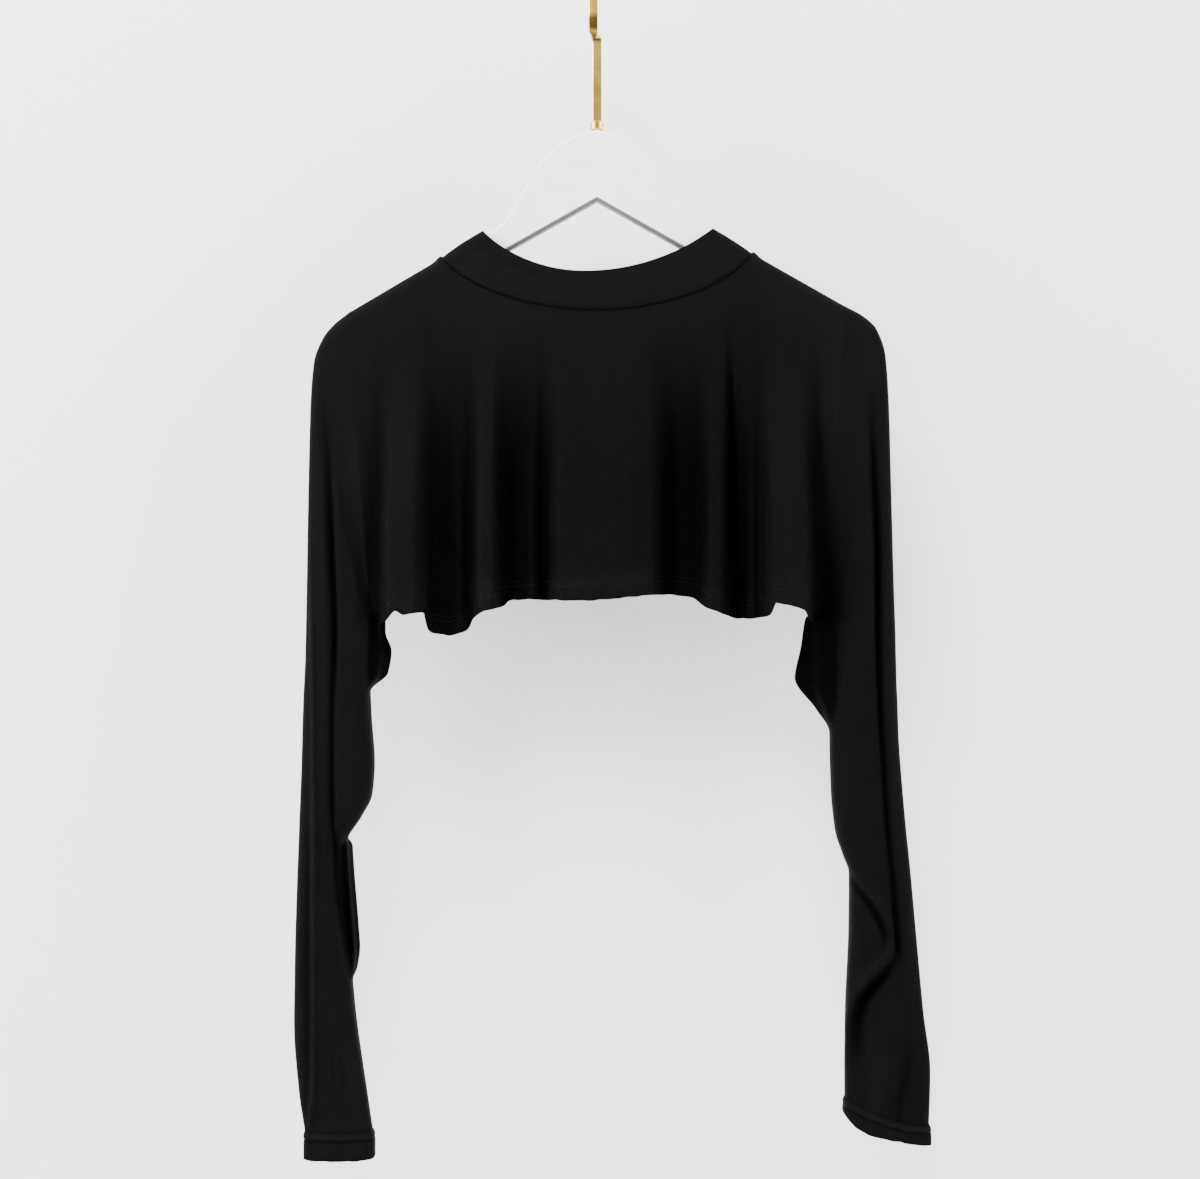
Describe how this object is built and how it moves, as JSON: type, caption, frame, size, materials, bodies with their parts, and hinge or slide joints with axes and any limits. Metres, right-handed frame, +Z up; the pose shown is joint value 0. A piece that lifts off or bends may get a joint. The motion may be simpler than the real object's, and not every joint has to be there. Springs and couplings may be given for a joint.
{
  "type": "cropped mock-neck long-sleeved top on a wooden hanger",
  "caption": "Cropped long-sleeved jersey top with a stand collar, hanging on a flat wooden hanger by its hook, to cover the neck, shoulders and arms under other clothes.",
  "frame": {"origin": "the highest point inside the hanger's hook, where a rail carries it", "axes": "+Z up, +X to the right as seen from the front, +Y from the front of the garment to its back"},
  "size_m": [0.4706, 0.0746, 0.8892],
  "materials": {
    "jersey": "matte fine-knit stretch jersey",
    "painted_wood": "white satin paint over brushed wood",
    "brass": "polished"
  },
  "bodies": {
    "root": {"front": "jersey", "back": "jersey", "left_sleeve": "jersey", "right_sleeve": "jersey", "collar": "jersey", "left_cuff": "jersey", "right_cuff": "jersey", "hanger_board": "painted_wood", "hanger_hook": "brass", "hanger_ferrule": "brass"}
  },
  "joints": []
}
